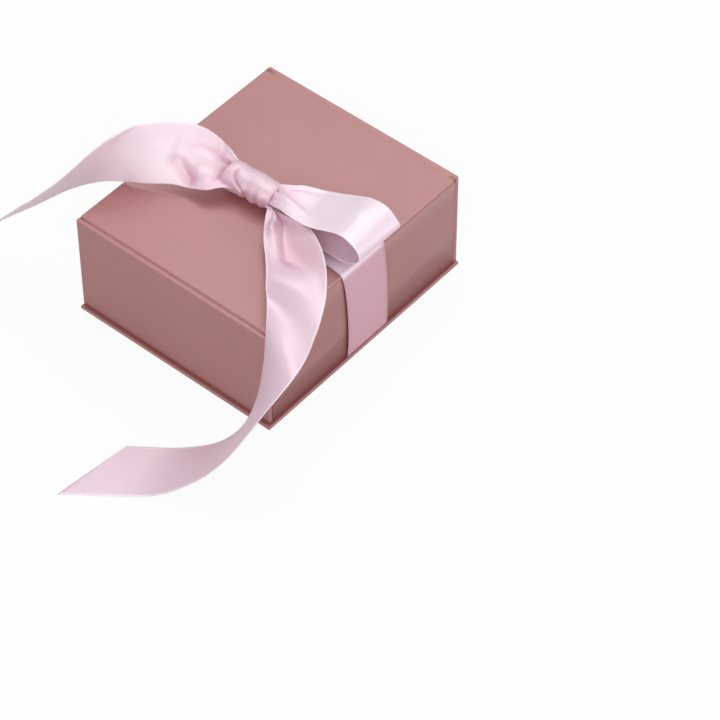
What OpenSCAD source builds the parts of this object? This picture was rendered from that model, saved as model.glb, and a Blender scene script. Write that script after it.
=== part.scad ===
// Book-style rigid gift box: a tray glued on a base board, a lid hinged on the spine at the back,
// a magnetic flap hinged on the front of the lid, and one satin ribbon tied in a one-loop bow.
// Origin: centre of the base board's underside. +Z up, the flap faces -Y.

/* [Box] */
// Width of the lid, along X
box_w = 100; // [80:1:160]
// Depth over the closed flap and the spine, along Y
box_d = 116; // [90:1:180]
// Height from the underside to the top of the lid
box_h = 50; // [36:1:90]

/* [Boards and papers] */
// Thickness of the lid, flap and spine boards
case_board_t = 1.5; // [1.4:0.1:2.5]
// Thickness of the tray's wall and floor boards
tray_board_t = 1.2; // [1.0:0.1:2.5]
// Thickness of the base board
base_board_t = 1.2; // [1.0:0.1:2.5]
// Thickness of the outer wrapping paper
wrap_t = 0.15; // [0.1:0.05:0.3]
// Thickness of the lining paper
lining_t = 0.15; // [0.1:0.05:0.3]
// Wrapping paper left showing round a lining
wrap_margin = 3; // [1.5:0.5:12]
// Leg of the paper angle that holds each tray corner
stay_leg = 14; // [6:1:20]
// Thickness of that paper angle, pressed flush into the boards
stay_t = 0.1; // [0.05:0.05:0.2]

/* [Ledges of the base board] */
// Past the flap, at the front
ledge_front = 1.7; // [0.5:0.1:4]
// Past the spine, at the back
ledge_back = 0.4; // [0.2:0.1:4]
// Past the left wall
ledge_left = 0.3; // [0.2:0.1:4]
// Past the right wall
ledge_right = 1.2; // [0.2:0.1:4]

/* [Paper hinges] */
// Gap between two boards, bridged by the wrapping paper
groove_w = 0.8; // [0.6:0.1:1.5]
// Depth of the hinge line below the top and inside the front or back face
crease_inset = 0.4; // [0.2:0.05:0.6]

/* [Clearances] */
// Between the closed flap and the tray's front wall
flap_gap = 0.2; // [0.15:0.05:0.6]
// Between the closed lid and the top of the tray's walls
lid_gap = 0.1; // [0.1:0.05:0.5]
// Between the flap's free edge and the base board
flap_foot_gap = 0.4; // [0.3:0.1:1.5]
// Between the ribbon and the box
ribbon_gap = 0.3; // [0.2:0.05:0.6]

/* [Magnets] */
// Diameter of each disc magnet
magnet_d = 10; // [6:0.5:14]
// Thickness of each disc magnet
magnet_t = 0.9; // [0.6:0.05:0.95]
// Room all round a magnet in its pocket
magnet_play = 0.05; // [0.02:0.01:0.1]
// From the box's side to the centre of the nearer magnet
magnet_inset = 24; // [12:1:34]
// From the underside of the box up to the magnets' centres
magnet_z = 14; // [10:1:20]

/* [Ribbon] */
// Width of the satin ribbon
ribbon_w = 25; // [20:1:30]
// Thickness of the ribbon's solids
ribbon_t = 0.3; // [0.2:0.05:0.6]
// How far the ribbon lies to the back (+) or front (-) of the middle of the lid
ribbon_y = 0; // [-10:1:10]
// Height of the bow's loop, top layer over bottom layer
loop_h = 13; // [11:0.5:15]
// Height of the knot
knot_h = 10.5; // [8:0.5:12]

/* [Hidden] */

rose = "#b98482";          // outer paper
rose_in = "#d9b3b0";       // lining paper
greyboard = "#9a958c";     // boards
kraft = "#b08d62";         // corner paper
steel_grey = "#a9acb0";    // magnets
satin = "#ead0df";         // ribbon

// Levels and faces that the pieces share
base_t = base_board_t + 2 * wrap_t;                     // base board in its paper
case_t = case_board_t + wrap_t + lining_t;              // lid, flap or spine in its papers
front = -box_d / 2;                                     // outer face of the closed flap
back = box_d / 2;                                       // outer face of the spine
side = box_w / 2;                                       // outer face of each side wall
lid_under = box_h - case_t;                             // underside of the closed lid
tray_top = lid_under - lid_gap;                         // top edge of the tray's walls
tray_front = front + case_t + flap_gap;                 // tray's outer faces, front and back
tray_back = back - case_t;
hinge_span = case_t + groove_w;                         // from an outer face to the lid's edge
wall_t = tray_board_t + wrap_t + lining_t;              // a tray wall with its two papers
flap_foot = base_t + flap_foot_gap;                     // free edge of the flap
wall_z0 = base_t;                                       // where the tray stands on the base
wall_z1 = tray_top - wrap_t;                            // top of a bare tray wall board
floor_z = wall_z0 + tray_board_t;                       // top of the tray's floor board

// ---- Papers and boards ------------------------------------------------------------------

// A box from corner a to corner b.
module span(a, b) { translate(a) cube(b - a); }

// Corners of a paper-covered board's bare board: the box [a, b] less its papers on every face.
function inner_a(a) = a + [wrap_t, wrap_t, wrap_t];
function inner_b(b) = b - [wrap_t, wrap_t, wrap_t];

// Paper round the board inside the box [a, b]. window is the box that the lining fills.
module wrapped(a, b, window_a, window_b) {
    difference() {
        span(a, b);
        span(inner_a(a), inner_b(b));
        if (window_a != undef) span(window_a, window_b);
    }
}

// ---- Base and tray ----------------------------------------------------------------------

base_a = [-side - ledge_left, front - ledge_front, 0];
base_b = [side + ledge_right, back + ledge_back, base_t];

module base_board() { color(greyboard) span(inner_a(base_a), inner_b(base_b)); }

module base_wrap() { color(rose) wrapped(base_a, base_b); }

tray_a = [-side, tray_front, wall_z0];
tray_b = [side, tray_back, tray_top];
// Outer faces of the bare tray boards, under the wrapping paper
board_a = tray_a + [wrap_t, wrap_t, 0];
board_b = [tray_b.x - wrap_t, tray_b.y - wrap_t, wall_z1];

module tray_floor_board() {
    color(greyboard)
        span([board_a.x + tray_board_t, board_a.y + tray_board_t, wall_z0],
             [board_b.x - tray_board_t, board_b.y - tray_board_t, floor_z]);
}

// The four paper angles, one on the outside of each corner.
module stays() {
    for (sx = [0, 1], sy = [0, 1]) {
        corner = [sx ? board_b.x : board_a.x, sy ? board_b.y : board_a.y, 0];
        translate(corner) mirror([sx, 0, 0]) mirror([0, sy, 0])
            translate([0, 0, wall_z0]) difference() {
                cube([stay_leg, stay_leg, wall_z1 - wall_z0]);
                translate([stay_t, stay_t, -1])
                    cube([stay_leg, stay_leg, wall_z1 - wall_z0 + 2]);
            }
    }
}

module corner_stays() { color(kraft) stays(); }

magnet_x = [-side + magnet_inset, side - magnet_inset];
pocket_d = magnet_d + 2 * magnet_play;
pocket_t = magnet_t + 2 * magnet_play;

// Discs along Y, one at each magnet place, from y0 over the length t.
module discs(d, y0, t) {
    for (x = magnet_x)
        translate([x, y0, magnet_z]) rotate([-90, 0, 0]) cylinder(d = d, h = t, $fn = 64);
}

// The tray's magnets lie in pockets in the front wall's outer face, under the paper.
module tray_wall_front() {
    color(greyboard) difference() {
        span([board_a.x, board_a.y, wall_z0], [board_b.x, board_a.y + tray_board_t, wall_z1]);
        stays();
        discs(pocket_d, board_a.y - pocket_t, 2 * pocket_t);
    }
}

module tray_magnets() { color(steel_grey) discs(magnet_d, board_a.y + magnet_play, magnet_t); }

module tray_wall_back() {
    color(greyboard) difference() {
        span([board_a.x, board_b.y - tray_board_t, wall_z0], [board_b.x, board_b.y, wall_z1]);
        stays();
    }
}

module side_wall(x0) {
    difference() {
        span([x0, board_a.y + tray_board_t, wall_z0],
             [x0 + tray_board_t, board_b.y - tray_board_t, wall_z1]);
        stays();
    }
}

module tray_wall_left() { color(greyboard) side_wall(board_a.x); }

module tray_wall_right() { color(greyboard) side_wall(board_b.x - tray_board_t); }

// Outside skin of the tray, over the top edges and a short way down inside.
module tray_wrap() {
    color(rose) difference() {
        span(tray_a, tray_b);
        span([board_a.x, board_a.y, wall_z0 - 1], board_b);
        // the hollow inside the walls
        span([-side + wall_t, tray_front + wall_t, wall_z0 - 1],
             [side - wall_t, tray_back - wall_t, tray_top + 1]);
        // below the turned-in margin the lining takes over
        span([-side + wall_t - lining_t, tray_front + wall_t - lining_t, wall_z0 - 1],
             [side - wall_t + lining_t, tray_back - wall_t + lining_t, tray_top - wrap_margin]);
    }
    // the margin turned in over the top edge
    color(rose) difference() {
        span([-side + wall_t - lining_t, tray_front + wall_t - lining_t, tray_top - wrap_margin],
             [side - wall_t + lining_t, tray_back - wall_t + lining_t, wall_z1]);
        span([-side + wall_t, tray_front + wall_t, wall_z0],
             [side - wall_t, tray_back - wall_t, tray_top]);
    }
}

// Inside skin of the tray: floor and walls, up to the turned-in margin.
module tray_lining() {
    color(rose_in) difference() {
        span([-side + wall_t - lining_t, tray_front + wall_t - lining_t, floor_z],
             [side - wall_t + lining_t, tray_back - wall_t + lining_t, tray_top - wrap_margin]);
        span([-side + wall_t, tray_front + wall_t, floor_z + lining_t],
             [side - wall_t, tray_back - wall_t, tray_top]);
    }
}

// ---- Spine, lid and flap ----------------------------------------------------------------

spine_a = [-side, tray_back, base_t];
spine_b = [side, back, box_h];

module spine_board() { color(greyboard) span(inner_a(spine_a), inner_b(spine_b)); }

module spine_wrap() { color(rose) wrapped(spine_a, spine_b); }

lid_a = [-side, front + hinge_span, lid_under];
lid_b = [side, back - hinge_span, box_h];
lid_window_a = lid_a + [wrap_margin, wrap_margin, 0];
lid_window_b = [lid_b.x - wrap_margin, lid_b.y - wrap_margin, lid_under + lining_t];

module lid_board() {
    color(greyboard) span([lid_a.x + wrap_t, lid_a.y + wrap_t, lid_under + lining_t], inner_b(lid_b));
}

module lid_wrap() {
    color(rose) difference() {
        span(lid_a, lid_b);
        span([lid_a.x + wrap_t, lid_a.y + wrap_t, lid_under + lining_t], inner_b(lid_b));
        span(lid_window_a - [0, 0, 1], lid_window_b);
    }
}

module lid_lining() { color(rose_in) span(lid_window_a, lid_window_b); }

flap_a = [-side, front, flap_foot];
flap_b = [side, front + case_t, box_h];
flap_board_b = [side - wrap_t, flap_b.y - lining_t, box_h - wrap_t];
flap_window_a = [flap_a.x + wrap_margin, flap_b.y - lining_t, flap_foot + wrap_margin];
flap_window_b = [side - wrap_margin, flap_b.y, box_h - wrap_margin];

// The flap's magnets lie in pockets in its board's inner face, facing the tray's magnets.
module flap_board() {
    color(greyboard) difference() {
        span(inner_a(flap_a), flap_board_b);
        discs(pocket_d, flap_board_b.y - pocket_t, 2 * pocket_t);
    }
}

module flap_magnets() {
    color(steel_grey) discs(magnet_d, flap_board_b.y - magnet_play - magnet_t, magnet_t);
}

module flap_wrap() {
    color(rose) difference() {
        span(flap_a, flap_b);
        span(inner_a(flap_a), flap_board_b);
        span(flap_window_a, flap_window_b + [0, 1, 0]);
    }
}

module flap_lining() { color(rose_in) span(flap_window_a, flap_window_b); }

// Paper that bridges a groove, level with the top. y0 is the groove's low-Y side.
module hinge_strip(y0) {
    color(rose) span([-side, y0, box_h - crease_inset], [side, y0 + groove_w, box_h - crease_inset + wrap_t]);
}

module front_hinge_paper() { hinge_strip(front + case_t); }

module back_hinge_paper() { hinge_strip(back - hinge_span); }

// ---- Ribbon -----------------------------------------------------------------------------

band_z = box_h + ribbon_gap;          // underside of the band on the lid
band_x = side + ribbon_gap;           // inner face of each side strip
band_a = ribbon_y - ribbon_w / 2;     // front edge of the band
strip_z = base_t + ribbon_gap;        // lower end of each side strip

// Half of the band's width along x, as a share of the ribbon's: the knot gathers its middle.
band_shape = [
    [-34, 0.5], [-26, 0.43], [-19, 0.29], [-12, 0.2], [0, 0.17],
    [7, 0.24], [14, 0.38], [22, 0.49], [34, 0.5]
];

module ribbon_band_top() {
    end = band_x + ribbon_t;
    half = concat([[-end, 0.5]], [for (p = band_shape) [refit(p[0], 0), p[1]]], [[end, 0.5]]);
    n = len(half);
    color(satin) translate([0, ribbon_y, band_z]) linear_extrude(ribbon_t)
        polygon(concat([for (i = [0 : n - 1]) [half[i][0], -half[i][1] * ribbon_w]],
                       [for (i = [n - 1 : -1 : 0]) [half[i][0], half[i][1] * ribbon_w]]));
}

module side_strip(x0) {
    color(satin) span([x0, band_a, strip_z], [x0 + ribbon_t, band_a + ribbon_w, band_z]);
}

module ribbon_side_left() { side_strip(-band_x - ribbon_t); }

module ribbon_side_right() { side_strip(band_x); }

knot_z = band_z + ribbon_t;           // the knot stands on the band
knot_r = 3.5;                         // roundness of the knot
knot_x = [-15.5, 7.5];                // left and right faces of the knot
knot_y = [-11, 2];                    // front and back faces of the knot

module ribbon_knot() {
    color(satin) translate([0, ribbon_y, 0]) hull()
        for (x = [knot_x[0] + knot_r, knot_x[1] - knot_r], y = [knot_y[0] + knot_r, knot_y[1] - knot_r],
             z = [knot_z + knot_r, knot_z + knot_h - knot_r])
            translate([x, y, z]) sphere(r = knot_r, $fn = 32);
}

// Smooth curve through the stations (Catmull-Rom), station by station, sub points each.
function spline(p, i, u) =
    let (a = p[max(i - 1, 0)], b = p[i], c = p[i + 1], d = p[min(i + 2, len(p) - 1)])
    0.5 * ((2 * b) + (c - a) * u + (2 * a - 5 * b + 4 * c - d) * u * u
           + (3 * b - a - 3 * c + d) * u * u * u);
function smooth(p, sub) =
    [for (i = [0 : len(p) - 2], k = [0 : sub - 1]) spline(p, i, k / sub), p[len(p) - 1]];
function unit(v) = v / norm(v);

// The stations of the tails are written for a box of this half width, half depth and height.
// On another box they spread with it over the lid and down the wall, and keep their distance
// from its edges outside it.
drawn = [50, 58, 50];
actual = [side, -front, box_h];
function refit(v, k) =
    abs(v) < drawn[k] ? v * actual[k] / drawn[k] : v + sign(v) * (actual[k] - drawn[k]);

// Each station holds the middle of the ribbon [x, y, z], its width as a share of the ribbon's,
// the direction across it (bearing, then slope, in degrees) and how far a slanted end is cut.
function placed(s) =
    [refit(s[0], 0), refit(s[1], 1) + ribbon_y, refit(s[2], 2), s[3] * ribbon_w, s[4], s[5], s[6]];
function across(s) = [cos(s[4]) * cos(s[5]), sin(s[4]) * cos(s[5]), sin(s[5])];
function middle(s) = [s[0], s[1], s[2]];

// A strip of ribbon through such stations, as one closed solid.
module strip(stations, sub = 2) {
    s = smooth([for (q = stations) placed(q)], sub);
    n = len(s);
    along = [for (i = [0 : n - 1])
        unit(middle(s[min(i + 1, n - 1)]) - middle(s[max(i - 1, 0)]))];
    rings = [for (i = [0 : n - 1])
        let (c = middle(s[i]), w = across(s[i]) * s[i][3] / 2, k = along[i] * s[i][6],
             face = unit(cross(along[i], across(s[i]))) * ribbon_t / 2)
        [c - w - k - face, c + w + k - face, c + w + k + face, c - w - k + face]];
    points = [for (r = rings) each r];
    // the two faces of the ribbon share the same diagonals, so a twist keeps its thickness
    sides = [for (i = [0 : n - 2], j = [0 : 3])
        let (a = 4 * i + j, b = 4 * i + (j + 1) % 4)
        each (j < 2 ? [[a, b, b + 4], [a, b + 4, a + 4]]
                    : [[a, b, a + 4], [b, b + 4, a + 4]])];
    last = 4 * (n - 1);
    polyhedron(points, concat([[0, 2, 1], [0, 3, 2]], sides,
                              [[last, last + 1, last + 2], [last, last + 2, last + 3]]));
}

// Tail to the left: fans out of the knot, stands up on its lower edge, then twists and falls
// past the box's left side.
tail_left = [
    [-17, -5.5, 57.5, 0.52, -66, 0, 0],
    [-22, -7.5, 60, 0.84, -67, -20, 0],
    [-29, -10, 61.5, 1, -66, -36, 0],
    [-36, -14, 62.5, 1, -63, -46, 0],
    [-43, -20.5, 63, 1, -61, -58, 0],
    [-50, -28, 63.2, 1, -60, -77, 0],
    [-58, -35, 58, 1, -60, -104, 0],
    [-69, -44, 47, 1, -58, -127, 0],
    [-79, -53, 37.5, 1, -54, -132, 4],
    [-87, -61, 31, 1, -50, -133, 10]
];

// Tail to the front: out of the knot under the loop, over the corner, down past it and onto
// the table, where it ends in a slanted cut.
tail_front = [
    [11, -8.5, 56.5, 0.24, 10, 0, 0],
    [15, -9.5, 57, 0.52, 10, 0, 0],
    [20, -11.5, 57, 0.8, 12, 2, 0],
    [28, -18, 56.5, 0.96, 20, 2, 0],
    [36, -25, 56, 1, 22, -1, 0],
    [43, -33, 55.5, 1, 19, -7, 0],
    [48.5, -41, 55.5, 1, 11, -15, 0],
    [53, -48, 56, 1, 0, -20, 0],
    [57, -55, 55, 1, -12, -15, 0],
    [60.4, -63.5, 52, 1, -27, -3, 0],
    [60.4, -70.5, 42.2, 1, -43, 9, 0],
    [59, -77.5, 30, 1, -56, 16, 0],
    [56, -84.5, 19, 1, -62, 19, 0],
    [50, -91, 10.5, 1, -61, 17, 0],
    [42, -97.5, 5, 1, -58, 10, 0],
    [34, -103.5, 2, 1, -55, 3, 0],
    [25, -110, 1, 1, -52, 0, 3],
    [12.5, -119.5, 0.8, 1, -50, 0, 12.5]
];

module ribbon_tail_left() { color(satin) strip(tail_left); }

module ribbon_tail_front() { color(satin) strip(tail_front); }

// The loop leaves the top of the knot, turns back past the right edge and returns below.
loop_y = [-10, 15];                   // front and back edges of the loop
loop_z0 = knot_z + 0.5;               // bottom layer of the loop
loop_top = loop_z0 + loop_h;          // top layer of the loop
loop_path = [
    [8, loop_top - 5], [16, loop_top - 4.9], [24, loop_top - 4.6], [32, loop_top - 3.2],
    [38, loop_top - 1.2], [44, loop_top], [48.5, loop_top], [52.5, loop_top - 1.6],
    [55, loop_top - 4.6], [54, loop_z0 + 4.8], [51, loop_z0 + 2.3], [46, loop_z0 + 1.2],
    [38, loop_z0 + 0.8], [28, loop_z0 + 0.8], [18, loop_z0 + 1.1], [8, loop_z0 + 2]
];

module ribbon_loop() {
    line = smooth(loop_path, 2);
    n = len(line);
    side_of = [for (i = [0 : n - 1])
        let (d = unit(line[min(i + 1, n - 1)] - line[max(i - 1, 0)])) [-d.y, d.x] * ribbon_t / 2];
    outline = concat([for (i = [0 : n - 1]) line[i] + side_of[i]],
                     [for (i = [n - 1 : -1 : 0]) line[i] - side_of[i]]);
    color(satin) translate([0, ribbon_y + loop_y[1], 0]) rotate([90, 0, 0])
        linear_extrude(loop_y[1] - loop_y[0]) polygon(outline);
}

base_board();
base_wrap();
tray_floor_board();
tray_wall_front();
tray_wall_back();
tray_wall_left();
tray_wall_right();
corner_stays();
tray_wrap();
tray_lining();
tray_magnets();
spine_board();
spine_wrap();
back_hinge_paper();
lid_board();
lid_wrap();
lid_lining();
front_hinge_paper();
flap_board();
flap_wrap();
flap_lining();
flap_magnets();
ribbon_band_top();
ribbon_side_left();
ribbon_side_right();
ribbon_knot();
ribbon_loop();
ribbon_tail_left();
ribbon_tail_front();
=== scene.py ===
# %% [markdown]
# # A gift box with a satin bow
# A rigid gift box is greyboard covered with paper. This one has a tray on a base board, a lid that
# folds back on a paper hinge, and a front flap that a pair of magnets holds shut. A satin ribbon
# goes round it once and is tied on the lid in a bow with one loop.
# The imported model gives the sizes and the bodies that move. The cells below dress it.

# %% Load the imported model
import bpy
import math
import numpy as np
from mathutils import Matrix, Vector


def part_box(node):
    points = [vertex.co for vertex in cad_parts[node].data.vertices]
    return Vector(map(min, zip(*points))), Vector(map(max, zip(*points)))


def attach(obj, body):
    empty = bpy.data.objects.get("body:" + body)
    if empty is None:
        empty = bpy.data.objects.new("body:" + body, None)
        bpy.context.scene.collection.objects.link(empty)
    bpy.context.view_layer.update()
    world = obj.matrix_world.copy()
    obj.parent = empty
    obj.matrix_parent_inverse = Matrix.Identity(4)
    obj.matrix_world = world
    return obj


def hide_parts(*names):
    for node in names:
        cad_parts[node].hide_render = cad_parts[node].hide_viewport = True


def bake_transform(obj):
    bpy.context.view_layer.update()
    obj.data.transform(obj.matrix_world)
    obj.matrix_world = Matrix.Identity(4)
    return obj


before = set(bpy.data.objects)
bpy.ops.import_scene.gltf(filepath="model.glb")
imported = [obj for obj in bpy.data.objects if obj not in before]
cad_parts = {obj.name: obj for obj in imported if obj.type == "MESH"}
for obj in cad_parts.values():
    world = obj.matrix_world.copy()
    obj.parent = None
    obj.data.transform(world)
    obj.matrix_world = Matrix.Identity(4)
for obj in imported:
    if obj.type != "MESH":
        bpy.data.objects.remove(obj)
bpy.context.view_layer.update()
MM = 0.001
print("packed nodes:", len(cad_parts))

# %% [markdown]
# ## Camera
# A camera is a place, a direction and a lens. A long lens from over a metre away keeps the box's
# edges almost parallel. Two directions fix how the camera is turned: where it looks, and which way
# its right-hand side points. The cross product of the two is its up direction.

# %% Camera
CAMERA_MM = (581.4, -636.3, 914.5)
LOOK = Vector((-0.42908, 0.51129, -0.74463))
RIGHT = Vector((0.765166, 0.643832, 0.001165))
LENS_MM, SENSOR_MM = 153.7, 36
NEAREST_M, FARTHEST_M = 0.05, 20

camera = bpy.data.objects.new("camera", bpy.data.cameras.new("camera"))
camera.data.lens = LENS_MM
camera.data.sensor_width = SENSOR_MM
camera.data.clip_start, camera.data.clip_end = NEAREST_M, FARTHEST_M
turn = Matrix((RIGHT, RIGHT.cross(LOOK), -LOOK)).transposed().to_4x4()
camera.matrix_world = Matrix.Translation(Vector(CAMERA_MM) * MM) @ turn
bpy.context.scene.collection.objects.link(camera)
bpy.context.scene.camera = camera
print("camera distance (mm):", round(Vector(CAMERA_MM).length))

# %% [markdown]
# ## Surfaces from numbers
# Every new piece is a grid of points worked out with numpy. A grid has two parameters: along and
# across, or round and up. One helper turns a grid into a mesh, joins its ends where it goes all
# the way round, and stores a UV map in millimetres, so a weave keeps its size on every piece. It
# can also store one number for each point, which the materials use for painted light: on paper a
# paler folded edge, partly rubbed paper and partly a painted highlight; on cloth, painted shade.

# %% Grid to mesh
CLOTH_UV = "cloth_mm"
# Number stored on each point: a paler edge on paper (rubbed paper and painted highlight), painted
# shade on cloth.
WEAR_AND_PAINTED_LIGHT = "wear_and_painted_light"


def grid_mesh(name, points, round_u=False, round_v=False, uv=None, wear_and_painted_light=None, normals=None,
              caps=False):
    """One vertex for each grid point [i, j] and one quad for each cell, whose face looks along
    (step in i) x (step in j). round_u and round_v close the grid on itself. caps closes both ends
    of a tube whose sides run along i."""
    nu, nv = points.shape[:2]
    iu = np.arange(nu if round_u else nu - 1)
    jv = np.arange(nv if round_v else nv - 1)
    i, j = np.meshgrid(iu, jv, indexing="ij")
    i2, j2 = (i + 1) % nu, (j + 1) % nv
    faces = np.stack([i * nv + j, i2 * nv + j, i2 * nv + j2, i * nv + j2], -1)
    faces = faces.reshape(-1, 4).tolist()
    if caps:
        first = np.arange(nv).tolist()
        faces += [first, [(nu - 1) * nv + k for k in reversed(first)]]
    mesh = bpy.data.meshes.new(name)
    mesh.from_pydata((points.reshape(-1, 3) * MM).tolist(), [], faces)
    if uv is not None:
        corner_vertex = np.zeros(len(mesh.loops), int)
        mesh.loops.foreach_get("vertex_index", corner_vertex)
        corner_uv = uv.reshape(-1, 2)[corner_vertex].astype(np.float32)
        mesh.uv_layers.new(name=CLOTH_UV).data.foreach_set("uv", corner_uv.ravel())
    if wear_and_painted_light is not None:
        stored = mesh.attributes.new(WEAR_AND_PAINTED_LIGHT, "FLOAT", "POINT")
        stored.data.foreach_set("value", wear_and_painted_light.reshape(-1).astype(np.float32))
    mesh.shade_smooth()
    if normals is not None:
        mesh.normals_split_custom_set_from_vertices(normals.reshape(-1, 3).tolist())
    piece = bpy.data.objects.new(name, mesh)
    bpy.context.scene.collection.objects.link(piece)
    return piece


def finish_piece(piece, material, body, slot, *nodes):
    """Gives a piece its material and its moving body, and hides the nodes it stands for.
    slot is not used.
    """
    piece.data.materials.append(material)
    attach(piece, body)
    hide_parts(*nodes)


# %% [markdown]
# ## Shader nodes
# A material is a tree of nodes: noise and stored numbers come in, and a colour, a roughness and a
# bump go to one Principled shader. These helpers add one node each, so that a recipe reads like
# the sum it is. What is the same all over a surface goes straight on the shader's own socket.

# %% Material helpers
def new_material(name):
    """A material that holds a Principled shader joined to its output, and nothing else."""
    material = bpy.data.materials.new(name)
    material.use_nodes = True
    tree = material.node_tree
    tree.nodes.clear()
    out = tree.nodes.new("ShaderNodeOutputMaterial")
    shader = tree.nodes.new("ShaderNodeBsdfPrincipled")
    tree.links.new(shader.outputs[0], out.inputs[0])
    return material, tree, shader


def put(tree, made, inputs):
    """Fills a node's inputs, each with a number, a colour or another node's socket."""
    for key, value in inputs.items():
        if isinstance(value, bpy.types.NodeSocket):
            tree.links.new(value, made.inputs[key])
        else:
            made.inputs[key].default_value = value


def node(tree, kind, inputs=None, **settings):
    """A node with its settings and its inputs."""
    made = tree.nodes.new("ShaderNode" + kind)
    for key, value in settings.items():
        setattr(made, key, value)
    put(tree, made, inputs or {})
    return made


def noise(tree, vector, scale, detail, roughness):
    """The value of a noise texture, with scale features for each unit of the vector."""
    made = node(tree, "TexNoise", {"Vector": vector, "Scale": scale, "Detail": detail,
                                   "Roughness": roughness})
    return made.outputs[0]


def math_node(tree, operation, a, b=0.0):
    """One step of arithmetic on one or two values, each a number or a socket."""
    return node(tree, "Math", {0: a, 1: b}, operation=operation).outputs[0]


def weighted(tree, first, *others):
    """The sum of share * value over pairs of (value, share)."""
    term = math_node(tree, "MULTIPLY", *first)
    return math_node(tree, "ADD", term, weighted(tree, *others)) if others else term


def remap(tree, value, low, high, to_low, to_high):
    """Low goes to to_low and high to to_high, in a straight line, and no further."""
    made = node(tree, "MapRange", {0: value, 1: low, 2: high, 3: to_low, 4: to_high})
    return made.outputs[0]


def mix(tree, factor, a, b):
    """Colour a at factor 0 and colour b at factor 1."""
    return node(tree, "Mix", {0: factor, 6: a, 7: b}, data_type="RGBA").outputs[2]


def mix_shaders(tree, factor, a, b):
    """Shader a at factor 0 and shader b at factor 1."""
    made = node(tree, "MixShader", {0: factor, 1: a.outputs[0], 2: b.outputs[0]})
    return made.outputs[0]


def bump(tree, height, strength, distance):
    """Tilts the surface's normal by a height; a height of 1 stands distance metres proud."""
    made = node(tree, "Bump", {"Height": height, "Strength": strength, "Distance": distance})
    return made.outputs[0]


print("helpers ready; materials so far:", len(bpy.data.materials))

# %% [markdown]
# ## Paper
# The outside paper is coated with fine mica, so it is satiny and a little pearly rather than
# matte. Three things make it: a grain finer than a hair, faint clouds where the coating is
# thicker, and paler edges where the paper is folded over the board, partly rubbed paper and
# partly a painted highlight. The grain and clouds are noise on Object coordinates; the folded
# edges are the number that each cover stores.

# %% Rose paper
GRAIN_PER_M, FIBRES_PER_M, CLOUDS_PER_M = 2600, 420, 38
PAPER_ROUGHNESS = 0.39
GRAIN_DEPTH_M = 0.00002


def rose_paper(name, deep, pale, edge_wear_and_highlight):
    """Noise mixes the deep and the pale tone; folded edges go 55 % towards a paler colour,
    partly rubbed paper and partly a painted highlight.
    """
    material, tree, shader = new_material(name)
    place = node(tree, "TexCoord").outputs["Object"]
    grain = noise(tree, place, GRAIN_PER_M, 3, 0.6)
    clouds = noise(tree, place, CLOUDS_PER_M, 3, 0.55)
    fibres = noise(tree, place, FIBRES_PER_M, 2, 0.5)
    tone = weighted(tree, (grain, 0.45), (clouds, 0.35), (fibres, 0.2))
    colour = mix(tree, remap(tree, tone, 0.35, 0.65, 0, 1), deep, pale)
    # Paler folded edges: partly rubbed paper, partly a painted highlight.
    edge_wear_and_highlight_share = node(tree, "Attribute", attribute_name=WEAR_AND_PAINTED_LIGHT).outputs["Fac"]
    put(tree, shader, {
        "Base Color": mix(tree, math_node(tree, "MULTIPLY", edge_wear_and_highlight_share, 0.55), colour, edge_wear_and_highlight),
        "Roughness": remap(tree, grain, 0.3, 0.7, PAPER_ROUGHNESS - 0.05, PAPER_ROUGHNESS + 0.06),
        "Metallic": 0.1, "IOR": 1.6, "Specular IOR Level": 0.85,
        "Normal": bump(tree, grain, 0.35, GRAIN_DEPTH_M)})
    return material


ROSE = rose_paper("rose_paper", deep=(0.345, 0.115, 0.109, 1), pale=(0.385, 0.136, 0.129, 1),
                  edge_wear_and_highlight=(0.56, 0.29, 0.28, 1))
print("paper material:", ROSE.name)

# %% [markdown]
# ## Inside papers, board, kraft and magnets
# These show only when the box is open or a board's edge is bare: an uncoated lining a tone
# paler than the outside, grey pressed board, brown kraft corners and plated magnets. One recipe
# serves them all, with its own tones and size of grain for each.

# %% Plain materials
def grained(name, dark, light, scale, stretch=(1, 1, 1), metallic=0.0, roughness=0.8,
            depth=0.00003):
    """Two tones mixed by fine and coarse noise, stretched along one axis where the stuff has a
    direction."""
    material, tree, shader = new_material(name)
    place = node(tree, "TexCoord").outputs["Object"]
    stretched = node(tree, "Mapping", {"Vector": place, "Scale": stretch}).outputs[0]
    fine = noise(tree, stretched, scale, 4, 0.6)
    coarse = noise(tree, stretched, scale / 12, 3, 0.5)
    tone = weighted(tree, (fine, 0.6), (coarse, 0.4))
    put(tree, shader, {
        "Base Color": mix(tree, remap(tree, tone, 0.35, 0.65, 0, 1), dark, light),
        "Roughness": remap(tree, fine, 0.3, 0.7, roughness - 0.06, roughness + 0.06),
        "Metallic": metallic, "Normal": bump(tree, fine, 0.5, depth)})
    return material


LINING = grained("lining_paper", (0.62, 0.42, 0.40, 1), (0.70, 0.49, 0.47, 1), 1500)
BOARD = grained("greyboard", (0.26, 0.245, 0.21, 1), (0.37, 0.35, 0.31, 1), 1400)
KRAFT = grained("corner_paper", (0.36, 0.22, 0.11, 1), (0.47, 0.30, 0.16, 1), 900,
                stretch=(1, 1, 0.25))
PLATED = grained("plated_steel", (0.46, 0.47, 0.49, 1), (0.58, 0.59, 0.61, 1), 700,
                 stretch=(1, 12, 1), metallic=1.0, roughness=0.3, depth=0.000005)
print("plain materials:", [made.name for made in (LINING, BOARD, KRAFT, PLATED)])

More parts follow.
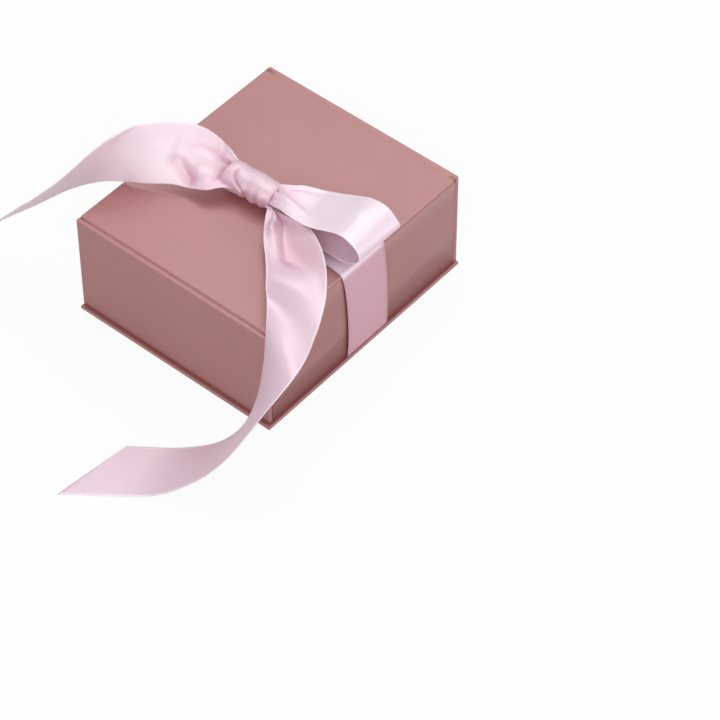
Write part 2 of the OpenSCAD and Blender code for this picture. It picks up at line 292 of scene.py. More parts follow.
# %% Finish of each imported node
made_of = {
    BOARD: ("base_board", "tray_floor_board", "tray_wall_front", "tray_wall_back",
            "tray_wall_left", "tray_wall_right", "spine_board", "lid_board", "flap_board"),
    KRAFT: ("corner_stays",),
    PLATED: ("tray_magnets", "flap_magnets"),
    LINING: ("tray_lining", "lid_lining", "flap_lining"),
    ROSE: ("base_wrap", "tray_wrap", "spine_wrap", "lid_wrap", "flap_wrap",
           "back_hinge_paper", "front_hinge_paper"),
}
for material, names in made_of.items():
    for name in names:
        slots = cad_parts[name].data.materials
        slots.clear()
        slots.append(material)
print("nodes with a new finish:", sum(len(names) for names in made_of.values()))

# %% [markdown]
# ## Covered boards
# A board wrapped in paper has soft edges: the paper can't follow a sharp corner. Each cover is a
# rounded slab. It could be a cube with a Bevel modifier; here it is one formula instead, which
# also gives the exact normals and tells the material where the folded edges are.

# %% Rounded slab
BALL_POWER = 2.4


def unit(v):
    """The same direction with length 1."""
    return v / np.maximum(np.linalg.norm(v, axis=-1, keepdims=True), 1e-9)


def four_corners(steps):
    """Bearings that turn round four corners, and the side in X and in Y that each corner is on."""
    quarter = np.linspace(0, np.pi / 2, steps + 1)
    bearing = np.concatenate([quarter + k * np.pi / 2 for k in range(4)])[::-1]
    return bearing, np.repeat([1, -1, -1, 1], steps + 1), np.repeat([-1, -1, 1, 1], steps + 1)


def rounded_slab(name, low, high, r_top, r_low, steps=6):
    """A box from low to high with rounded edges. A direction turns round (longitude) and up
    (latitude); each point is the centre of its corner's ball plus the ball's radius times that
    direction. Upper corners use r_top and lower ones r_low. The ball is a little squarer than a
    sphere (power 2.4), so that the paper clears the board's corner; its normal is direction^1.4."""
    lon, side_x, side_y = four_corners(steps)
    quarter = np.linspace(0, np.pi / 2, steps + 1)
    lat = np.concatenate([quarter - np.pi / 2, quarter])[:, None]
    side_z = np.repeat([-1, 1], steps + 1)[:, None]
    r = np.where(side_z > 0, r_top, r_low)
    centre, half = (low + high) / 2, (high - low) / 2
    flat = np.ones_like(lon)
    direction = np.stack([np.cos(lat) * np.cos(lon), np.cos(lat) * np.sin(lon),
                          np.sin(lat) * flat], -1)
    length = (np.abs(direction) ** BALL_POWER).sum(-1, keepdims=True) ** (1 / BALL_POWER)
    squarer = direction / length
    ball = np.stack([side_x * (half[0] - r), side_y * (half[1] - r),
                     side_z * (half[2] - r) * flat], -1)
    points = centre + ball + r[..., None] * squarer
    normals = unit(np.sign(direction) * np.abs(squarer) ** (BALL_POWER - 1))
    # Paler rounded edges, for the material: partly rubbed paper, partly a painted highlight.
    wear_and_painted_light = 1 - np.max(np.abs(direction), -1) ** 6
    return grid_mesh(name, points, round_v=True, caps=True, wear_and_painted_light=wear_and_painted_light / wear_and_painted_light.max(), normals=normals)


# %% Covers
# name, node, body, what the paper stands off the node on each low and high side, radius at top
# and foot (mm)
cover_table = (
    ("base_cover", "base_wrap", "base", (0, 0, 0), (0, 0, 0), 0.4, 0.3),
    ("spine_cover", "spine_wrap", "base", (0.1, 0, 0), (0.1, 0.12, 0.12), 0.7, 0.2),
    ("lid_cover", "lid_wrap", "lid", (0.12, 0, 0), (0.12, 0, 0.12), 0.75, 0.08),
    ("flap_cover", "flap_wrap", "flap", (0.1, 0.12, 0), (0.1, 0, 0.12), 0.75, 0.5),
)
for name, node_name, body, off_low, off_high, r_top, r_low in cover_table:
    low, high = (np.array(corner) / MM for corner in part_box(node_name))
    slab = rounded_slab(name, low - off_low, high + off_high, r_top, r_low)
    finish_piece(slab, ROSE, body, "rose_paper", node_name)
print("covers:", [line[0] for line in cover_table])

# %% [markdown]
# ## Tray and paper hinges
# The tray's paper goes up the outside, over the top edge and a little way down the inside. That is
# one closed profile carried round a rectangle with small corners. The back hinge is a strip of
# paper that lies flat over the joint; the front one dips into a groove between two boards, where
# a crease is pressed with a bone folder.

# %% Tray paper
CAVITY_HALF_X, CAVITY_HALF_Y, CAVITY_MIDDLE_Y = 48.5, 54.6, 0.1
TRAY_TOP = 48.1


def round_the_tray(profile, corner=0.4, steps=4):
    """Carries a profile of (distance outside the cavity, height) round a rectangle: the centre of
    the corner's circle moves out with the distance, and a direction turns round it."""
    lon, side_x, side_y = four_corners(steps)
    out, z = profile[:, :1], profile[:, 1:]
    x = side_x * (CAVITY_HALF_X + out - corner) + corner * np.cos(lon)
    y = CAVITY_MIDDLE_Y + side_y * (CAVITY_HALF_Y + out - corner) + corner * np.sin(lon)
    return np.stack([x, y, z + 0 * lon], -1)


quarter_turn = np.linspace(0, np.pi / 2, 6)[:, None]
over_edge = np.concatenate([
    np.array([[1.36, 1.5], [1.5, 1.5], [1.5, 20], [1.5, 40]]),
    np.array([1.38, 47.98]) + 0.12 * np.hstack([np.cos(quarter_turn), np.sin(quarter_turn)]),
    np.array([0.3, 47.8]) + 0.3 * np.hstack([-np.sin(quarter_turn), np.cos(quarter_turn)]),
    np.array([[0, 46.4], [0, 45.1], [0.14, 45.1], [0.14, 47.93], [1.36, 47.93], [1.36, 40]]),
])
tray_points = round_the_tray(over_edge)
# Paler round the top edge: partly rubbed paper, partly a painted highlight.
top_edge_wear_and_highlight = np.exp(-((over_edge[:, 1] - TRAY_TOP) / 0.35) ** 2)[:, None]
tray_cover = grid_mesh("tray_cover", tray_points, round_u=True, round_v=True,
                       wear_and_painted_light=top_edge_wear_and_highlight + np.zeros(tray_points.shape[1]))
finish_piece(tray_cover, ROSE, "base", "rose_paper", "tray_wrap")
print("tray paper, points round the profile and the tray:", tray_points.shape[:2])

# %% Paper hinges
STRIP_HALF_X, STRIP_T = 49.9, 0.12


def hinge_strip(name, y0, y1, z, dip, rows=21, columns=13):
    """Along X; the section is a shallow valley z - dip * (1 - v^2), v from -1 to 1, and the same
    line again lower down, so that the strip is closed."""
    v = np.linspace(-1, 1, columns)
    y = (y0 + y1) / 2 + (y1 - y0) / 2 * v
    valley = z - dip * (1 - v**2)
    section = np.stack([np.concatenate([y, y[::-1]]),
                        np.concatenate([valley, valley[::-1] - STRIP_T])], -1)
    x = np.linspace(STRIP_HALF_X, -STRIP_HALF_X, rows)
    grid = (rows, 2 * columns)
    points = np.concatenate([np.broadcast_to(x[:, None, None], grid + (1,)),
                             np.broadcast_to(section, grid + (2,))], -1)
    strip = grid_mesh(name, points, round_v=True, caps=True, wear_and_painted_light=np.zeros(grid))
    strip.data.materials.append(ROSE)
    return strip


back_strip = hinge_strip("back_hinge", 54.5, 57.1, z=50.08, dip=0.02)
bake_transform(back_strip)
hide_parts("back_hinge_paper")
front_strip = hinge_strip("front_hinge", -56.3, -55.3, z=49.8, dip=0.35)
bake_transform(front_strip)
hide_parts("front_hinge_paper")
print("hinge strips:", back_strip.name, front_strip.name)

# %% [markdown]
# ## Satin
# Satin is woven so that long threads float over the surface. They all lie along the ribbon, so a
# highlight stretches across it: the shader's anisotropy, turned by the piece's own UV map. The
# UV map is in millimetres: x across the ribbon, y along it. Close up, fine ribs run along, and
# both edges have a woven selvedge with a row of tiny loops. Shade is also painted into the
# colour: deep in a fold, round the knot and on the box's walls the ribbon is painted pinker and
# darker. Each piece stores how much, and the material mixes its painted shade colour in by it. The
# second satin is a darker copy, partly the ribbon's duller back and partly painted shade; the front
# tail and the knot use it.

# %% Satin ribbon
RIBBON_W = 25.0
SELVEDGE_FROM, SELVEDGE_FULL = RIBBON_W / 2 - 0.95, RIBBON_W / 2 - 0.75
EDGE_LOOP_PERIOD = 1.2
SELVEDGE_TINT, EDGE_LOOP_TINT = (0.97, 0.86, 0.92, 1), (0.97, 0.89, 0.94, 1)
# Painted shade: the pinker, darker colour mixed into folds, round the knot and on the walls.
SATIN_PAINTED_SHADE = (0.62, 0.25, 0.35, 1)
SATIN_GLOSS = {
    "Metallic": 0.0, "Roughness": 0.47, "Anisotropic": 0.5, "IOR": 1.9, "Specular IOR Level": 1.0,
    "Sheen Weight": 0.08, "Sheen Roughness": 0.4, "Sheen Tint": (1.0, 0.95, 0.99, 1),
    "Subsurface Weight": 0.2, "Subsurface Radius": (1.0, 0.7, 0.8), "Subsurface Scale": 0.0008,
}


def woven(tree, cloth_uv_socket, across, along, detail, roughness):
    """Noise drawn out along the ribbon: so many features per mm across and along it."""
    drawn_out = node(tree, "Mapping", {"Vector": cloth_uv_socket, "Scale": (across, along, 1)})
    return noise(tree, drawn_out.outputs[0], 1.0, detail, roughness)


def satin(name, colour, shade):
    """Threads mix shade and colour, the selvedge and its loops are paler, and the stored number
    mixes in the painted shade colour. The loops are where sin(2 pi y / period) is high."""
    material, tree, shader = new_material(name)
    on_cloth = node(tree, "UVMap", uv_map=CLOTH_UV).outputs[0]
    threads = woven(tree, on_cloth, 9, 0.35, 3, 0.65)
    floats = woven(tree, on_cloth, 2.2, 0.12, 2, 0.5)
    across, along = node(tree, "SeparateXYZ", {0: on_cloth}).outputs[:2]
    from_middle = math_node(tree, "ABSOLUTE", across)
    selvedge = remap(tree, from_middle, SELVEDGE_FROM, SELVEDGE_FULL, 0, 1)
    wave = math_node(tree, "SINE", math_node(tree, "MULTIPLY", along,
                                             2 * math.pi / EDGE_LOOP_PERIOD))
    beads = math_node(tree, "MULTIPLY", selvedge, remap(tree, wave, -0.2, 0.9, 0, 1))
    tone = weighted(tree, (threads, 0.6), (floats, 0.4))
    base = mix(tree, remap(tree, tone, 0.3, 0.7, 0, 1), shade, colour)
    base = mix(tree, math_node(tree, "MULTIPLY", selvedge, 0.4), base, SELVEDGE_TINT)
    base = mix(tree, math_node(tree, "MULTIPLY", beads, 0.7), base, EDGE_LOOP_TINT)
    # The stored number mixes in painted shade.
    painted_shade_share = node(tree, "Attribute", attribute_name=WEAR_AND_PAINTED_LIGHT).outputs["Fac"]
    relief = math_node(tree, "ADD", math_node(tree, "MULTIPLY", threads, 0.4), beads)
    put(tree, shader, SATIN_GLOSS)
    put(tree, shader, {
        "Base Color": mix(tree, painted_shade_share, base, SATIN_PAINTED_SHADE),
        "Tangent": node(tree, "Tangent", direction_type="UV_MAP", uv_map=CLOTH_UV).outputs[0],
        "Normal": bump(tree, relief, 0.4, 0.00006)})
    return material


SATIN = satin("satin_ribbon", (0.90, 0.73, 0.83, 1), (0.84, 0.65, 0.76, 1))
# A darker copy: partly the ribbon's duller back, partly painted shade on the front tail and the
# knot.
SATIN_BACK_AND_SHADE = satin("satin_ribbon_back_and_shade", (0.75, 0.56, 0.66, 1), (0.69, 0.49, 0.60, 1))
print("satin materials:", SATIN.name, SATIN_BACK_AND_SHADE.name)

# %% [markdown]
# ## From a grid to a piece of ribbon
# A ribbon surface is a grid without thickness. It gets a UV map from its own measured length, and a
# Solidify modifier gives it the cloth's thickness to both sides of the grid. Stations in a table
# are joined by smooth curves, so that a few rows of numbers give a surface without corners.

# %% Cloth helpers
CLOTH_T = 0.25


def smooth_rows(rows, count):
    """A smooth curve through the rows of a table (Catmull-Rom), count rows long. Between rows b
    and c each column is half of (2b) + (c-a)t + (2a-5b+4c-d)t^2 + (3b-a-3c+d)t^3."""
    rows = np.asarray(rows, float)
    at = np.linspace(0, len(rows) - 1, count)
    k = np.minimum(at.astype(int), len(rows) - 2)
    t = (at - k)[:, None]
    a, b = rows[np.maximum(k - 1, 0)], rows[k]
    c, d = rows[k + 1], rows[np.minimum(k + 2, len(rows) - 1)]
    return 0.5 * (2 * b + (c - a) * t + (2 * a - 5 * b + 4 * c - d) * t**2
                  + (3 * b - a - 3 * c + d) * t**3)


def edges_to_surface(near, far, count_across):
    """Straight lines from one edge to the other, count_across points on each."""
    v = np.linspace(-1, 1, count_across)[None, :, None]
    return near[:, None] * (1 - v) / 2 + far[:, None] * (1 + v) / 2


def lengths_along(points):
    """Distance travelled along the rows of a grid, from 0."""
    steps = np.linalg.norm(np.diff(points, axis=0), axis=-1)
    return np.concatenate([np.zeros((1,) + steps.shape[1:]), np.cumsum(steps, axis=0)])


def cloth_uv(points):
    """x runs across the ribbon from minus half its width to plus half, and y is the distance
    along its middle."""
    along = lengths_along(points)[:, points.shape[1] // 2]
    across = np.linspace(-RIBBON_W / 2, RIBBON_W / 2, points.shape[1])
    return np.stack(np.broadcast_arrays(across[None, :], along[:, None]), -1)


def cloth(piece):
    thick = piece.modifiers.new("thickness", "SOLIDIFY")
    thick.thickness = CLOTH_T * MM
    thick.offset = 0


print("half way between 0 and 10 on a smooth curve:", float(smooth_rows([[0], [10]], 3)[1, 0]))

# %% [markdown]
# ## Band round the box
# The ribbon goes up the left wall, over the lid and down the right wall. It is one profile
# carried along the box: a list of stations, each with its height, its place along X and where
# the ribbon's front and back edges are. On the right wall it slants a little.

# %% Band
band_rows = [  # x, z, front edge y, back edge y
    (-50.5, 1.8, -12.5, 12.5), (-50.6, 14, -12.5, 12.5), (-50.6, 30, -12.5, 12.5),
    (-50.6, 44, -12.5, 12.5), (-50.6, 48.6, -12.5, 12.5), (-50.4, 49.8, -12.5, 12.5),
    (-49.6, 50.5, -12.5, 12.5), (-48.4, 50.5, -12.5, 12.5), (-40, 50.45, -12.5, 12.5),
    (-31, 50.45, -12, 11.2), (-24, 50.5, -10.4, 8.6), (-18, 50.6, -7.2, 6), (-12, 50.7, -5, 5),
    (-6, 50.7, -4.5, 4), (0, 50.7, -4, 4), (6, 50.65, -6, 5.5), (13, 50.55, -9.4, 8.4),
    (21, 50.45, -12.2, 11.2), (32, 50.45, -13.2, 11.8), (44, 50.45, -13.8, 11.2),
    (48.4, 50.5, -14.2, 10.8), (49.6, 50.5, -14.4, 10.7), (50.45, 49.8, -14.5, 10.6),
    (50.7, 48.4, -14.3, 10.7), (50.75, 41, -12.9, 11.6), (50.85, 29, -11.7, 12.4),
    (50.8, 15, -11.1, 12.9), (50.6, 4, -11.3, 13.1), (50.5, 1.8, -11.6, 13.1),
]


def blend01(x, start, end):
    """Rises smoothly from 0 at start to 1 at end: 3t^2 - 2t^3."""
    t = np.clip((x - start) / (end - start), 0, 1)
    return t * t * (3 - 2 * t)


row = smooth_rows(band_rows, 260)
band_near = np.stack([row[:, 0], row[:, 2], row[:, 1]], -1)
band_far = np.stack([row[:, 0], row[:, 3], row[:, 1]], -1)
band_points = edges_to_surface(band_near, band_far, 13)
# Painted shade: darker and pinker on the walls, which face away from the lamps (0.9), and only 0.15
# on the lit lid.
painted_wall_shade = 0.9 - 0.75 * blend01(band_points[..., 2], 47, 50.2)
band = grid_mesh("ribbon_band", band_points, uv=cloth_uv(band_points), wear_and_painted_light=painted_wall_shade)
cloth(band)
finish_piece(band, SATIN, "ribbon", "satin_ribbon",
             "ribbon_band_top", "ribbon_side_left", "ribbon_side_right")
print("band length (mm):", round(float(cloth_uv(band_points)[-1, 0, 1]), 1))

# %% [markdown]
# ## Creases
# Where the knot squeezes the ribbon, pleats spread from it. They could be sculpted by hand; here
# they are a table, each row a soft ridge or fold along a line on the flat cloth, and the surface
# moves along its own normal by their height. The bottoms of folds and the cloth near the knot
# get painted shade: more of the pinker, darker colour.

# %% Crease helpers
KNOT = (-1.0, -4.0, 56.0)
CREASE_END = 3.0


def creases(along, across, table):
    """Height of soft ridges (above 0) and folds (below 0) on flat cloth. A row is a line from one
    (along, across) to another in mm, how far it spreads to either side, and its height at both
    ends: height * exp(-(distance / spread)^2), times exp(-(overrun / 3)^2) past its ends."""
    total = np.zeros(np.broadcast(along, across).shape)
    for s0, v0, s1, v1, left, right, h0, h1 in table:
        length = math.hypot(s1 - s0, v1 - v0)
        t = ((along - s0) * (s1 - s0) + (across - v0) * (v1 - v0)) / length**2
        side = ((across - v0) * (s1 - s0) - (along - s0) * (v1 - v0)) / length
        past = length * np.maximum(np.abs(t - 0.5) - 0.5, 0)
        spread = np.where(side < 0, left, right)
        fall = np.exp(-(side / spread) ** 2 - (past / CREASE_END) ** 2)
        total += (h0 + (h1 - h0) * np.clip(t, 0, 1)) * fall
    return total


def raised(points, height):
    """Moves each grid point along the surface's normal, (step along) x (step across)."""
    normal = unit(np.cross(np.gradient(points, axis=0), np.gradient(points, axis=1)))
    return points + normal * height[..., None]


def fold_shade_share(height, deepest):
    """0 on open cloth to 1 at the bottom of a fold deepest mm deep: its share of painted shade."""
    return np.clip(-height / deepest, 0, 1)


def painted_shade_near(points, place, share, reach):
    """How much painted shade goes round a place, such as the knot: share there,
    falling by exp(-(distance / reach)^2). Distance along X counts for 0.7."""
    distance = np.linalg.norm((points - np.array(place)) * (0.7, 1, 1), axis=-1)
    return share * np.exp(-(distance / reach) ** 2)


print("height on the line of a 1 mm crease:", creases(5.0, 0.0, [(0, 0, 10, 0, 2, 2, 1, 1)]))

# %% [markdown]
# ## Tails
# Each tail is a strip through stations: the middle of the ribbon, its width there and the
# direction across it as a bearing and a slope. Where the knot squeezes the ribbon it is narrower
# than its cloth, and the creases start there. The end is cut on a slant.

# %% Tail surface
TAIL_ACROSS = 49


def tail_surface(rows, count_along, table):
    """middle + across * (width / 2) * v + normal * (crown * (1 - v^2) + creases) + along * cut * v,
    with v from -1 to 1. across is (cos b cos s, sin b cos s, sin s) of bearing b and slope s."""
    r = smooth_rows(rows, count_along)
    middle, width, cut, crown = r[:, :3], r[:, 3:4], r[:, 6:7], r[:, 7:8]
    bearing, slope = np.radians(r[:, 4]), np.radians(r[:, 5])
    across = np.stack([np.cos(bearing) * np.cos(slope), np.sin(bearing) * np.cos(slope),
                       np.sin(slope)], -1)
    along = unit(np.gradient(middle, axis=0))
    v = np.linspace(-1, 1, TAIL_ACROSS)[None, :]
    points = (middle[:, None] + across[:, None] * (width / 2 * v)[..., None]
              + along[:, None] * (cut * v)[..., None])
    pleats = creases(lengths_along(middle)[:, None], v * RIBBON_W / 2, table)
    return raised(points, crown * (1 - v**2) + pleats), fold_shade_share(pleats, 2.6)


print("points across a tail:", TAIL_ACROSS)

# %% Left tail
tail_left_rows = [  # middle x, y, z; width; bearing; slope; cut; crown
    (-12, -4, 55.5, 12, -66, 4, 0, 0), (-16, -4.5, 56.5, 16, -66, 0, 0, 0),
    (-19, -5.8, 58, 19, -66, -10, 0, 0.3), (-22, -7.5, 60, 22.5, -67, -22, 0, 0.6),
    (-29, -10, 61.5, 25, -66, -36, 0, 0.9), (-36, -14, 62.5, 25, -63, -46, 0, 1.1),
    (-43, -20.5, 63, 25, -61, -58, 0, 1.2), (-50, -28, 63.2, 25, -60, -77, 0, 1.0),
    (-58, -35, 58, 25, -60, -104, 0, 0.4), (-69, -44, 47, 25, -58, -127, 0, 0),
    (-79, -53, 37.5, 25, -54, -132, 4, 0), (-87, -61, 31, 25, -50, -133, 10, 0),
]
tail_left_creases = [  # start along, across; end along, across; spread to each side; heights
    (4, -7, 25, -4.4, 1.6, 2.2, -1.3, -0.2), (3, -2, 22, 0, 2, 3, 1.1, 0.2),
    (4, 4, 10, 8, 1.4, 1.6, -0.9, -0.5), (11, 6, 16, 5.5, 2.6, 2.6, 0.8, 1.2),
    (20, 9, 26, 3, 2.6, 3.5, -1.9, -1.0), (48, -12.5, 50.5, -11.8, 1.2, 1.4, 0.9, 0.7),
    (6, 10.5, 20, 11, 1.5, 1.5, 0.4, 0.2), (30, -3, 52, -6, 5, 5, 0.5, -0.3),
]
left_points, left_fold_shade = tail_surface(tail_left_rows, 170, tail_left_creases)
# Painted shade near the knot and at the bottoms of folds.
left_painted_shade = np.clip(painted_shade_near(left_points, KNOT, 0.8, 20) + left_fold_shade * 0.8, 0, 1)
left_tail = grid_mesh("ribbon_tail_to_left", left_points, uv=cloth_uv(left_points), wear_and_painted_light=left_painted_shade)
cloth(left_tail)
finish_piece(left_tail, SATIN, "ribbon", "satin_ribbon", "ribbon_tail_left")
print("left tail (mm):", round(float(cloth_uv(left_points)[-1, 0, 1])))

# %% Front tail
POCKET = (32, -21, 56)  # the hollow between the knot and the first crest
tail_front_rows = [  # middle x, y, z; width; bearing; slope; cut; crown
    (6, -7, 55, 6, 10, 0, 0, 0), (11, -8.3, 56.3, 8.4, 10, 4, 0, 0),
    (15, -9.2, 57.3, 13.6, 10, 7, 0, -0.5), (20, -11.2, 57.7, 20.6, 12, 9, 0, -1.0),
    (28, -17.8, 57.1, 24.4, 20, 7, 0, -1.6), (36, -25, 56.2, 25, 22, 1, 0, -1.8),
    (43, -33, 55.5, 25, 19, -7, 0, -1.2), (48.5, -41, 55.5, 25, 11, -15, 0, 0.2),
    (53, -48, 56, 25, 0, -20, 0, 0.9), (57, -55, 55, 25, -12, -15, 0, 0.5),
    (60.4, -63.5, 52, 25, -27, -3, 0, 0.3), (60.4, -70.5, 42.2, 25, -43, 9, 0, 0),
    (59, -77.5, 30, 25, -56, 16, 0, 0), (56, -84.5, 19, 25, -62, 19, 0, 0),
    (50, -91, 10.5, 25, -61, 17, 0, 0), (42, -97.5, 5, 25, -58, 10, 0, 0),
    (34, -103.5, 2, 25, -55, 3, 0, 0), (25, -110, 1, 25, -52, 0, 3, 0),
    (12.5, -119.5, 0.8, 25, -50, 0, 12.5, 0),
]
tail_front_creases = [  # start along, across; end along, across; spread to each side; heights
    (5, -4.5, 20, -8.6, 1.6, 1.3, 0.6, 1.2), (20, -8.6, 35, -7, 2.8, 2.4, 1.1, 0.2),
    (8, -2.5, 33, -4, 2.3, 5.5, -1.7, -1.0), (28, 2, 35, 3, 4, 4, -0.6, -0.5),
    (43, -7, 44, 6, 3.5, 4.5, 0.4, 0.6), (12, 9, 30, 10.5, 2, 2, 0.4, 0.3),
]
front_points, front_fold_shade = tail_surface(tail_front_rows, 260, tail_front_creases)
# Painted shade: a little all over, more near the knot, in the hollow and at the bottoms of folds.
front_painted_shade = np.clip(0.12 + painted_shade_near(front_points, KNOT, 0.38, 15)
                    + painted_shade_near(front_points, POCKET, 0.36, 11) + front_fold_shade * 0.5, 0, 1)
front_tail = grid_mesh("ribbon_tail_to_front", front_points, uv=cloth_uv(front_points),
                       wear_and_painted_light=front_painted_shade)
cloth(front_tail)
finish_piece(front_tail, SATIN_BACK_AND_SHADE, "ribbon", "satin_ribbon", "ribbon_tail_front")
print("front tail (mm):", round(float(cloth_uv(front_points)[-1, 0, 1])))

# %% [markdown]
# ## Loop
# The loop leaves the knot, runs to the right just above the lid, turns back past the lid's edge
# and returns under itself. Its two edges are two curves of stations; the cloth spans them.

# %% Loop edges
loop_near_rows = [  # x, y, z
    (1, -4, 54), (5, -6.3, 55.6), (9.5, -8, 57.4), (14.2, -9, 59.3), (19.4, -10, 59.9),
    (24, -10.3, 60.1), (28, -10.3, 60.5), (32.3, -9.8, 61.5), (37, -9.2, 63), (41.3, -8.7, 64.2),
    (45.2, -8.7, 65), (49, -9, 64.6), (52.7, -9.5, 63.5), (54.8, -9.9, 61.7), (55.2, -10, 59.2),
    (53, -10, 56.1), (48, -10, 53.3), (42.3, -10, 52.6), (34, -10, 52.5), (24, -9.5, 52.3),
    (12, -7, 53), (2, -4, 54),
]
loop_far_rows = [  # x, y, z
    (1, 0, 56.5), (4, 1.6, 59), (7.2, 2.8, 59.8), (9.6, 5, 59.3), (12, 7.6, 58.8),
    (15.5, 10, 57.9), (19.9, 12, 57.6), (25.6, 13.5, 58.6), (31.5, 15, 60.2), (38, 15.5, 63),
    (42.6, 15.8, 64), (46.8, 15.8, 64.2), (50.2, 15.4, 63.4), (52.9, 15, 61.8), (54.9, 15, 59.4),
    (53.8, 15, 56.4), (50, 15, 53.6), (44, 15, 52.2), (36, 14, 51.8), (24, 10, 51.8),
    (12, 4, 53), (2, 0, 55),
]
flat_loop = edges_to_surface(smooth_rows(loop_near_rows, 210), smooth_rows(loop_far_rows, 210), 49)
print("loop before its creases, points along and across:", flat_loop.shape[:2])

# %% Loop
loop_creases = [  # start along, across; end along, across; spread to each side; heights
    (7, 0.5, 27, -9, 6, 1.9, 1.5, 0.3), (8, 4.2, 26, -4, 2.2, 3.6, -0.8, -0.2),
    (12, 9, 26, 10, 1.5, 2, -0.5, -0.2), (9, -9, 22, -11, 2, 2, 0.4, 0.2),
    (28, 4, 44, 2, 5, 6, 0.5, 0.6),
]
loop_across, loop_along = np.moveaxis(cloth_uv(flat_loop), -1, 0)
loop_pleats = creases(loop_along, loop_across, loop_creases)
loop_points = raised(flat_loop, loop_pleats)
# Painted shade near the knot and in the folds, and more on the turned end and the layer below,
# most of all back under the knot.
loop_painted_shade = painted_shade_near(loop_points, KNOT, 0.38, 15) + fold_shade_share(loop_pleats, 1.6) * 0.5
loop_painted_shade += 0.15 * blend01(loop_along, 46, 60) + 0.3 * blend01(loop_along, 76, 92)
loop = grid_mesh("ribbon_bow_loop", loop_points, uv=cloth_uv(loop_points),
                 wear_and_painted_light=np.clip(loop_painted_shade, 0, 1))
cloth(loop)
finish_piece(loop, SATIN, "ribbon", "satin_ribbon", "ribbon_loop")
print("loop (mm):", round(float(cloth_uv(loop_points)[-1, 0, 1])))

# %% [markdown]
# ## Knot
# The knot is the ribbon wrapped once round the crossing. Seen as a tube round a nearly
# horizontal axis, it is fullest in the middle, has a flat band at its left, creases that run
# round it, and small gathers underneath.

# %% Knot surface
SECTION_POWER = 2.35
CREASE_DEPTH, GATHER_DEPTH, SLANT_DEPTH = 0.15, 0.075, 0.02


def between(t, start_deg, end_deg):
    """0 before one bearing and 1 after another, for an angle t round the tube in radians."""
    return blend01(t, math.radians(start_deg), math.radians(end_deg))


def knot_surface(centre, turn_deg, half_y, half_z, profile, n_round=112, n_along=120):
    """A tube. The profile is (distance along the axis, radius as a share) for stations from one end
    to the other, and t goes round. A superellipse rounds the section; a curved crease sets the
    wrap's band apart; gathers and soft slanting folds are sines that fade out of the top. Also
    returns how sunk each point is, from 0 to 1, which the knot turns into painted shade."""
    p = smooth_rows(profile, n_along)
    x, share = p[:, :1], p[:, 1:]
    t = np.linspace(0, 2 * np.pi, n_round, endpoint=False)[None, :]
    section = ((np.abs(np.cos(t)) ** SECTION_POWER + np.abs(np.sin(t)) ** SECTION_POWER)
               ** (-1 / SECTION_POWER))
    front = np.clip(np.cos(t - math.radians(200)), 0, 1)
    d = x - (-5.8 + 6.4 * between(t, 112, 190))
    deep = between(t, 75, 120) * (1 - between(t, 205, 250))
    crease = -CREASE_DEPTH * deep * np.exp(-(d / np.where(d < 0, 0.6, 1.5)) ** 2)
    lobes = (0.5 + 0.5 * np.cos((x - 0.2) * 1.5 + 0.6 * np.cos(t))) ** 1.4
    right_of_crease = blend01(d, 0, 1.5)
    gathers = GATHER_DEPTH * (lobes - 0.4) * front**1.5 * right_of_crease
    slant = SLANT_DEPTH * np.cos(x * 0.6 - 2 * t) * blend01(d, 0, 4)
    r = section * share * (1 + crease + gathers + slant)
    # How sunk each point is, in the crease and between the front gathers: used as painted shade.
    sunk = np.clip(-crease / CREASE_DEPTH + 0.5 * front * (1 - lobes) * right_of_crease, 0, 1)
    y, z = half_y * r * np.cos(t), half_z * r * np.sin(t)
    a = math.radians(turn_deg)
    points = np.stack([centre[0] + x * math.cos(a) - y * math.sin(a),
                       centre[1] + x * math.sin(a) + y * math.cos(a), centre[2] + z], -1)
    return points, sunk


print("deepest crease, as a share of the radius:", CREASE_DEPTH)

# %% Knot
knot_profile = [  # along the axis, share of the radius
    (-6.5, 0.35), (-8.6, 0.5), (-9.9, 0.72), (-10, 0.92), (-8.8, 1.02), (-7, 1.05), (-5, 1.03),
    (-3, 1.0), (0, 1.01), (3, 1.02), (6, 1.0), (9, 0.97), (11, 0.91), (12.5, 0.78), (12.6, 0.55),
    (10.5, 0.35),
]
knot_points, knot_shade_share = knot_surface((-6.8, -3.2, 55.9), 3.5, half_y=6.2, half_z=5.2,
                                      profile=knot_profile)
around = lengths_along(knot_points.transpose(1, 0, 2))
along_axis = np.linspace(-11, 11, knot_points.shape[0])[:, None]
knot_uv = np.stack(np.broadcast_arrays(along_axis, around.T), -1)
# Painted shade all over the knot, more in its crease and between the gathers.
knot = grid_mesh("ribbon_knot_wrap", knot_points, round_v=True, uv=knot_uv,
                 wear_and_painted_light=0.3 + 0.6 * knot_shade_share)
cloth(knot)
finish_piece(knot, SATIN_BACK_AND_SHADE, "ribbon", "satin_ribbon", "ribbon_knot")
print("knot section (mm):", round(float(around[-1].mean()), 1))

# %% [markdown]
# ## Light and floor
# Packaging is lit softly so that paper shows its colour. A large lamp above, a little behind the
# box, puts the bow's short shadow on the lid. One in front lights the flap and the faces of the
# tails, a weaker one lifts the right wall, and the pale world does the rest. Satin and coated
# paper also mirror the room faintly: Light Path gives camera and glossy rays a white world and a
# bright floor, while the object is lit by a dimmer one. The floor still takes its shadow.

# %% Lamps
LAMPS_FACE = Vector((0, -0.01, 0.03))
lamp_table = (  # name, place (m), side of the square (m), level
    ("above", (-0.28, 0.55, 1.28), 0.9, 0.34),
    ("front", (0.50, -0.92, 0.74), 1.0, 0.40),
    ("side", (1.25, 0.45, 0.60), 0.8, 0.20),
)


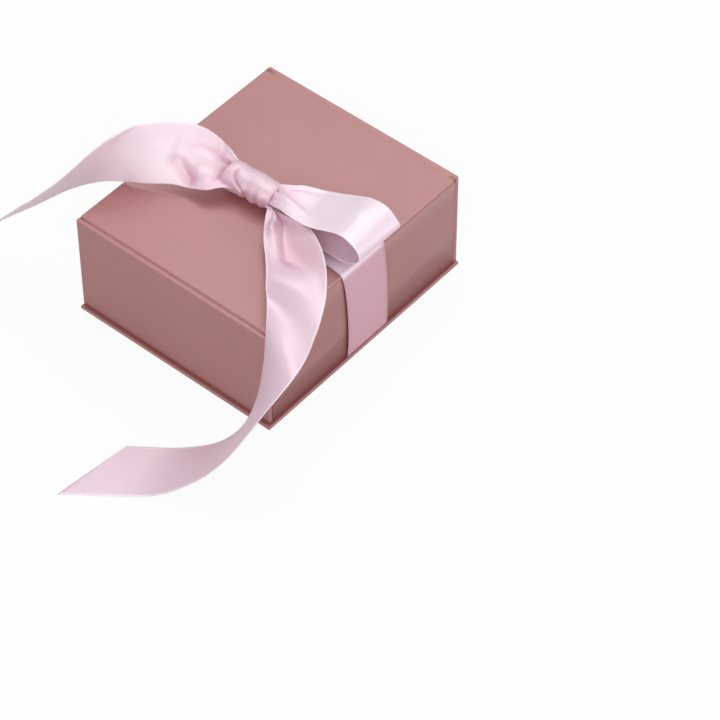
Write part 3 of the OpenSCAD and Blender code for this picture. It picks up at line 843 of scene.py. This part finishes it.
def area_lamp(name, place, size, level):
    """A square lamp that faces the box. level is the brightness of a white surface that faces it:
    a lamp of P watts d metres away gives P / (pi * d)^2."""
    lamp = bpy.data.lights.new(name, "AREA")
    lamp.shape = "SQUARE"
    lamp.size = size
    away = LAMPS_FACE - Vector(place)
    lamp.energy = level * (math.pi * away.length) ** 2
    holder = bpy.data.objects.new(name, lamp)
    facing = away.to_track_quat("-Z", "Y").to_matrix().to_4x4()
    holder.matrix_world = Matrix.Translation(Vector(place)) @ facing
    bpy.context.scene.collection.objects.link(holder)


for line in lamp_table:
    area_lamp(*line)

# %% World
WHITE = (1, 1, 1, 1)
SKY_LEVEL = 0.44


def seen_directly(tree):
    """The camera's rays, the glossy rays, and a socket that is 1 for either."""
    rays = tree.nodes.new("ShaderNodeLightPath").outputs
    straight, glossy = rays["Is Camera Ray"], rays["Is Glossy Ray"]
    return straight, glossy, math_node(tree, "MAXIMUM", straight, glossy)


world = bpy.data.worlds.new("studio")
bpy.context.scene.world = world
world.use_nodes = True
world_tree = world.node_tree
world_tree.nodes.clear()
sky = node(world_tree, "Background", {"Color": WHITE, "Strength": SKY_LEVEL})
backdrop = node(world_tree, "Background", {"Color": WHITE, "Strength": 1.0})
node(world_tree, "OutputWorld",
     {0: mix_shaders(world_tree, seen_directly(world_tree)[2], sky, backdrop)})
print("sky for the object:", SKY_LEVEL, "and for the camera: 1")

# %% Floor
HALF_FLOOR = 3000.0
FLOOR_Z = -0.05
GLOW_TO_CAMERA, GLOW_TO_GLOSS = 0.92, 0.5

ends = np.array([-HALF_FLOOR, HALF_FLOOR])
floor_x, floor_y = np.meshgrid(ends, ends, indexing="ij")
floor = grid_mesh("floor", np.stack([floor_x, floor_y, np.full_like(floor_x, FLOOR_Z)], -1))
floor_material = bpy.data.materials.new("floor")
floor_material.use_nodes = True
floor_tree = floor_material.node_tree
floor_tree.nodes.clear()
straight, glossy, either = seen_directly(floor_tree)
tint = mix(floor_tree, either, (0.72, 0.70, 0.70, 1), (0.9, 0.9, 0.9, 1))
pale = node(floor_tree, "BsdfDiffuse", {"Color": tint})
glow = node(floor_tree, "Emission", {"Color": WHITE, "Strength": 1.0})
share = weighted(floor_tree, (straight, GLOW_TO_CAMERA), (glossy, GLOW_TO_GLOSS))
node(floor_tree, "OutputMaterial", {0: mix_shaders(floor_tree, share, pale, glow)})
floor.data.materials.append(floor_material)
bpy.context.scene.view_settings.view_transform = "Standard"
print("floor (m):", 2 * HALF_FLOOR * MM)

# %% Update the scene
bpy.context.view_layer.update()
